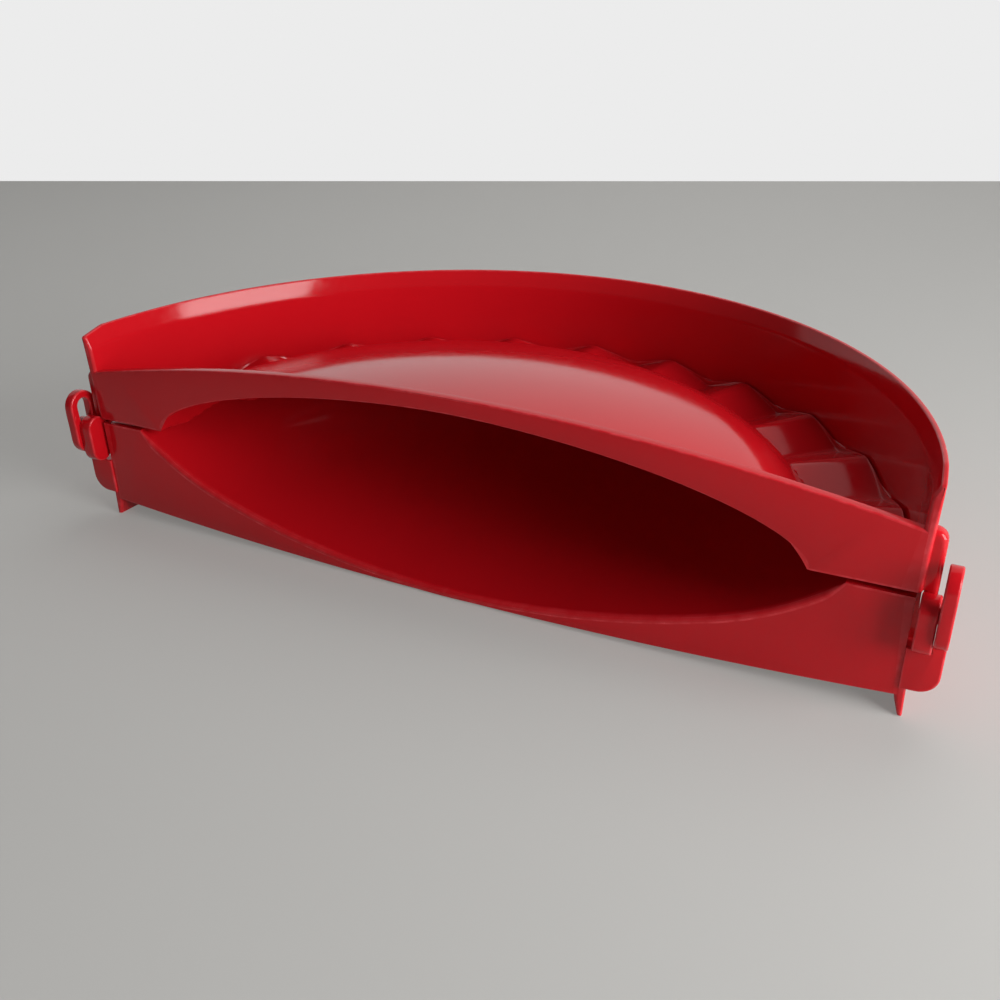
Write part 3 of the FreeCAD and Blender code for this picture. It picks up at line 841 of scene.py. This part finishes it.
for side in (1.0, -1.0):
    cut_block(lower_shell, lower_place(block_corners * (side, 1.0, 1.0)))

# %% [markdown]
# ## Glossy moulded polypropylene
#
# The press is one material all over: red polypropylene as it came out of a polished mould. The colour is
# in the plastic, even but for a faint clouding where the melt flowed. The gloss is high, so the pale
# surroundings show as clear reflections, and it is a little broken by fine wear from use. Edges are
# painted paler, partly as rubbed wear and partly as a painted highlight along them. The pale edges could
# be painted by hand or found by the renderer, but here they are read from the shape, which the mesh
# keeps: along each mesh edge, the change of the normal over the way tells how sharply the surface bends.

# %% Where the edges are
BEND_LEAST = 0.3
BEND_SPAN = 1.6


def mesh_values(items, key, width, kind):
    """One value of all items of a mesh as an array, in rows of a width where it is more than 1."""
    values = np.empty(width * len(items), dtype=kind)
    items.foreach_get(key, values)
    return values.reshape(-1, width) if width > 1 else values


def mark_edges(mesh):
    """Writes 0 on flat and hollow faces and up to 1 on sharp convex ones, as the attribute edge_bend.

    The bend along a mesh edge is (change of normal) . (way) / (way)^2, per millimetre, and a face takes
    the largest of its edges.
    """
    points = mesh_values(mesh.vertices, "co", 3, float)
    normals = mesh_values(mesh.vertices, "normal", 3, float)
    first, second = mesh_values(mesh.edges, "vertices", 2, np.int32).T
    sides = mesh_values(mesh.loops, "edge_index", 1, np.int32)
    starts = mesh_values(mesh.polygons, "loop_start", 1, np.int32)
    way = (points[second] - points[first]) / MM
    turned = normals[second] - normals[first]
    bend = (turned * way).sum(axis=1) / np.maximum((way ** 2).sum(axis=1), SEAM ** 2)
    share = np.clip((np.maximum.reduceat(bend[sides], starts) - BEND_LEAST) / BEND_SPAN, 0.0, 1.0)
    mesh.attributes.new("edge_bend", "FLOAT", "FACE").data.foreach_set("value", share.astype(np.float32))
    print("%s: %.0f %% of its faces lie on edges" % (mesh.name, 100.0 * np.mean(share > 0.5)))


UPPER_PIECES = [upper_shell, upper_wall, upper_hinge]
LOWER_PIECES = [lower_shell, lower_wall, lower_hinge]
for piece in UPPER_PIECES + LOWER_PIECES:
    mark_edges(piece.data)

# %% Colour and node helpers
def linear_colour(hex_colour):
    """Linear red, green, blue and alpha of an sRGB hex value."""
    channels = [int(hex_colour[i:i + 2], 16) / 255.0 for i in (1, 3, 5)]
    return tuple(c / 12.92 if c <= 0.04045 else ((c + 0.055) / 1.055) ** 2.4 for c in channels) + (1.0,)


def fresh_tree(item):
    """The node tree of a material or a world, switched on and emptied."""
    item.use_nodes = True
    item.node_tree.nodes.clear()
    return item.node_tree


def add_node(tree, kind, inputs=None, **settings):
    """Adds a node, sets its properties, and links each given input to a socket or sets its value."""
    node = tree.nodes.new(kind)
    for key, setting in settings.items():
        setattr(node, key, setting)
    for key, given in (inputs or {}).items():
        if isinstance(given, bpy.types.NodeSocket):
            tree.links.new(given, node.inputs[key])
        else:
            node.inputs[key].default_value = given
    return node


def per_metre(size_mm):
    """Texture scale whose pattern repeats about once in a size in millimetres."""
    return 1.0 / (size_mm * MM)


print("half grey in linear light: %.3f" % linear_colour("#808080")[0])

# %% Red polypropylene, moulded
# Red pigment all through, a shade lighter where the melt flowed last, and paler on sharp edges, partly
# as rubbed wear and partly as a painted highlight.
PLASTIC_RED = "#C0101A"
CLOUD_RED = "#CA131E"
EDGE_WEAR_AND_HIGHLIGHT_RED = "#E0444B"
# Typical for polypropylene from a polished mould; use has taken some of the mirror's strength.
PLASTIC_IOR = 1.49
MIRROR_STRENGTH = 0.3
LEAST_ROUGHNESS = 0.09
MOST_ROUGHNESS = 0.16
RUBBED_ROUGHNESS = 0.2
# Sizes of the patterns; wear and scuffs are drawn coarser than they are, so that they show.
CLOUD_MM = 35.0
WEAR_MM = 1.6
SCUFF_MM = 2.5
WAVE_MM = 9.0
WAVE_HEIGHT = 0.3


def moulded_polypropylene():
    """Polypropylene from a polished mould: a faint clouding, edges paler with wear and a painted
    highlight, and a slight waviness.
    """
    material = bpy.data.materials.new("red_polypropylene_moulded")
    tree = fresh_tree(material)
    place = add_node(tree, "ShaderNodeTexCoord").outputs["Object"]
    edge = add_node(tree, "ShaderNodeAttribute", attribute_name="edge_bend").outputs["Fac"]

    cloud = add_node(tree, "ShaderNodeTexNoise", {
        "Vector": place, "Scale": per_metre(CLOUD_MM), "Detail": 3.0})
    melt = add_node(tree, "ShaderNodeMix", {
        "Factor": cloud.outputs["Fac"], "A": linear_colour(PLASTIC_RED), "B": linear_colour(CLOUD_RED),
    }, data_type="RGBA")
    scuff = add_node(tree, "ShaderNodeTexNoise", {
        "Vector": place, "Scale": per_metre(SCUFF_MM), "Detail": 4.0})
    patchy = add_node(tree, "ShaderNodeMapRange", {
        "Value": scuff.outputs["Fac"], "From Min": 0.42, "From Max": 0.66, "To Min": 0.2, "To Max": 0.7})
    # Sharp edges are painted paler: partly rubbed wear, partly a painted highlight.
    edge_wear_and_highlight = add_node(tree, "ShaderNodeMath", {
        0: edge, 1: patchy.outputs["Result"]}, operation="MULTIPLY").outputs[0]
    colour = add_node(tree, "ShaderNodeMix", {
        "Factor": edge_wear_and_highlight, "A": melt.outputs[2], "B": linear_colour(EDGE_WEAR_AND_HIGHLIGHT_RED)}, data_type="RGBA")

    wear = add_node(tree, "ShaderNodeTexNoise", {
        "Vector": place, "Scale": per_metre(WEAR_MM), "Detail": 5.0})
    gloss = add_node(tree, "ShaderNodeMapRange", {
        "Value": wear.outputs["Fac"], "From Min": 0.35, "From Max": 0.75,
        "To Min": LEAST_ROUGHNESS, "To Max": MOST_ROUGHNESS})
    dulled = add_node(tree, "ShaderNodeMath", {
        0: edge_wear_and_highlight, 1: RUBBED_ROUGHNESS, 2: gloss.outputs["Result"]}, operation="MULTIPLY_ADD")
    wave = add_node(tree, "ShaderNodeTexNoise", {
        "Vector": place, "Scale": per_metre(WAVE_MM), "Detail": 1.0})
    bump = add_node(tree, "ShaderNodeBump", {
        "Height": wave.outputs["Fac"], "Strength": 0.06, "Distance": WAVE_HEIGHT * MM})
    shader = add_node(tree, "ShaderNodeBsdfPrincipled", {
        "Base Color": colour.outputs[2], "Roughness": dulled.outputs[0], "IOR": PLASTIC_IOR,
        "Specular IOR Level": MIRROR_STRENGTH, "Normal": bump.outputs["Normal"]})
    add_node(tree, "ShaderNodeOutputMaterial", {"Surface": shader.outputs["BSDF"]})
    return material


red_plastic = moulded_polypropylene()
for body, node, pieces in (("upper", "upper_half", UPPER_PIECES), ("lower", "lower_half", LOWER_PIECES)):
    for piece in pieces:
        piece.data.materials.append(red_plastic)
        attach(piece, body)
    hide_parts(node)
    print("%s half: %s" % (body, ", ".join(piece.name for piece in pieces)))

# %% [markdown]
# ## Studio
#
# A pale table, a white sheet that stands behind it, one soft light from the right, as from a window, and
# a weaker one high behind, as from a ceiling. The rest of the room is dim, so the walls that face the
# camera stay a deep red, while the dome mirrors the sheet. A bright room would make the sheet white
# too, but it would wash out the red. So the sheet is white to the camera and to mirror images only,
# and adds no light of its own. The ceiling's light is kept out of mirror images, where it would show
# as a hard bright patch on the dome.

# %% Surfaces of the stage
def looked_at(tree, share):
    """A share where the camera sees a surface, straight, mirrored or through glass, and 0 elsewhere."""
    path = add_node(tree, "ShaderNodeLightPath").outputs
    seen = path["Is Camera Ray"]
    for other in ("Is Glossy Ray", "Is Transmission Ray"):
        either = add_node(tree, "ShaderNodeMath", {0: seen, 1: path[other]}, operation="MAXIMUM")
        seen = either.outputs[0]
    return add_node(tree, "ShaderNodeMath", {0: seen, 1: share}, operation="MULTIPLY").outputs[0]


def stage_surface(name, colour, glow, share):
    """A matt colour to the lamps; where it is looked at, a share of it is an even glow."""
    material = bpy.data.materials.new(name)
    tree = fresh_tree(material)
    matt = add_node(tree, "ShaderNodeBsdfDiffuse", {"Color": linear_colour(colour)})
    even = add_node(tree, "ShaderNodeEmission", {"Color": linear_colour(glow), "Strength": 1.0})
    mixed = add_node(tree, "ShaderNodeMixShader", {
        0: looked_at(tree, share), 1: matt.outputs[0], 2: even.outputs[0]})
    add_node(tree, "ShaderNodeOutputMaterial", {"Surface": mixed.outputs[0]})
    print("%s: %d nodes" % (name, len(tree.nodes)))
    return material


# The table glows a little too, so that it stays pale far from the light.
table_surface = stage_surface("table_top", "#C6C5C2", "#B4B3B0", share=0.4)
sheet_surface = stage_surface("white_sheet", "#E6E6E6", "#ECECEC", share=1.0)

# %% Table and sheet, in metres
TABLE_HALF = 4.0
SHEET_AWAY = 0.45
SHEET_TURN = math.radians(20.3)
SHEET_HALF = 2.0
SHEET_TOP = 1.5


def stage_sheet(surface, corners):
    """A flat sheet that isn't part of the press, named for its surface."""
    mesh = bpy.data.meshes.new(surface.name)
    mesh.from_pydata(corners, [], [(0, 1, 2, 3)])
    mesh.materials.append(surface)
    sheet = add_object(surface.name, mesh)
    print("%s: first corner at %s" % (sheet.name, [round(value, 2) for value in corners[0]]))


upright = Matrix.Rotation(SHEET_TURN, 4, "Z")
stage_sheet(table_surface, [
    (-TABLE_HALF, -TABLE_HALF, 0.0), (TABLE_HALF, -TABLE_HALF, 0.0),
    (TABLE_HALF, TABLE_HALF, 0.0), (-TABLE_HALF, TABLE_HALF, 0.0)])
stage_sheet(sheet_surface, [upright @ Vector(corner) for corner in (
    (-SHEET_HALF, SHEET_AWAY, 0.0), (SHEET_HALF, SHEET_AWAY, 0.0),
    (SHEET_HALF, SHEET_AWAY, SHEET_TOP), (-SHEET_HALF, SHEET_AWAY, SHEET_TOP))])

# %% The dim room and the two soft lights
ROOM_STRENGTH = 0.11


def dim_room(strength):
    """A plain, even world."""
    world = bpy.data.worlds.new("dim_room")
    tree = fresh_tree(world)
    light = add_node(tree, "ShaderNodeBackground", {
        "Color": linear_colour("#FFFFFF"), "Strength": strength})
    add_node(tree, "ShaderNodeOutputWorld", {"Surface": light.outputs[0]})
    bpy.context.scene.world = world


def soft_light(name, place, target, width, height, watts, mirrored):
    """A rectangular soft light that faces a target, and may or may not show in mirror images."""
    lamp = bpy.data.lights.new(name, "AREA")
    lamp.shape = "RECTANGLE"
    lamp.size = width
    lamp.size_y = height
    lamp.energy = watts
    light = add_object(name, lamp)
    light.location = place
    light.rotation_euler = (Vector(target) - Vector(place)).to_track_quat("-Z", "Y").to_euler()
    light.visible_glossy = mirrored


dim_room(ROOM_STRENGTH)
soft_light("window", place=(0.43, -0.11, 0.18), target=(0.0, -0.02, 0.03),
           width=0.30, height=0.28, watts=2.8, mirrored=True)
soft_light("ceiling", place=(0.05, 0.30, 0.60), target=(0.0, 0.0, 0.03),
           width=0.50, height=0.50, watts=1.4, mirrored=False)
print("lights:", [item.name for item in bpy.data.lights])

# %% [markdown]
# ## The camera
#
# The camera stands to the right in front of the hinge side and looks down at the press. It could be
# placed by eye, but then no edge would lie quite where it should, so its place, turn and lens were found
# by fitting the press's known edges to the photograph.

# %% Camera
CAMERA_PLACE = (100.7, -169.4, 100.1)
CAMERA_YAW = math.radians(-26.92)
CAMERA_PITCH = math.radians(27.58)
CAMERA_ROLL = math.radians(-1.25)
SENSOR_MM = 36.0
FOCAL_SHARE = 1.0357
NEAREST = 0.01


def photo_camera():
    """A camera whose place is counted from the front plane and the upper mating face.

    Ahead is (sin yaw cos pitch, cos yaw cos pitch, -sin pitch). The roll then turns the level right and
    up directions about it.
    """
    yaw, pitch, roll = CAMERA_YAW, CAMERA_PITCH, CAMERA_ROLL
    flat = math.cos(pitch)
    ahead = np.array([math.sin(yaw) * flat, math.cos(yaw) * flat, -math.sin(pitch)])
    level_right = np.array([math.cos(yaw), -math.sin(yaw), 0.0])
    level_up = np.cross(level_right, ahead)
    right = math.cos(roll) * level_right + math.sin(roll) * level_up
    up = math.cos(roll) * level_up - math.sin(roll) * level_right
    place = (np.array(CAMERA_PLACE) + (0.0, AXIS_Y + FRONT, LOWER["depth"] + MATE_GAP)) * MM
    data = bpy.data.cameras.new("camera")
    data.sensor_width = SENSOR_MM
    data.lens = SENSOR_MM * FOCAL_SHARE
    data.clip_start = NEAREST
    camera = add_object("camera", data)
    turn = np.eye(4)
    turn[:3] = np.stack([right, up, -ahead, place], axis=1)
    camera.matrix_world = Matrix(turn.tolist())
    bpy.context.scene.camera = camera
    print("camera at", [round(value, 3) for value in place.tolist()])


photo_camera()
bpy.context.scene.view_settings.view_transform = "Standard"
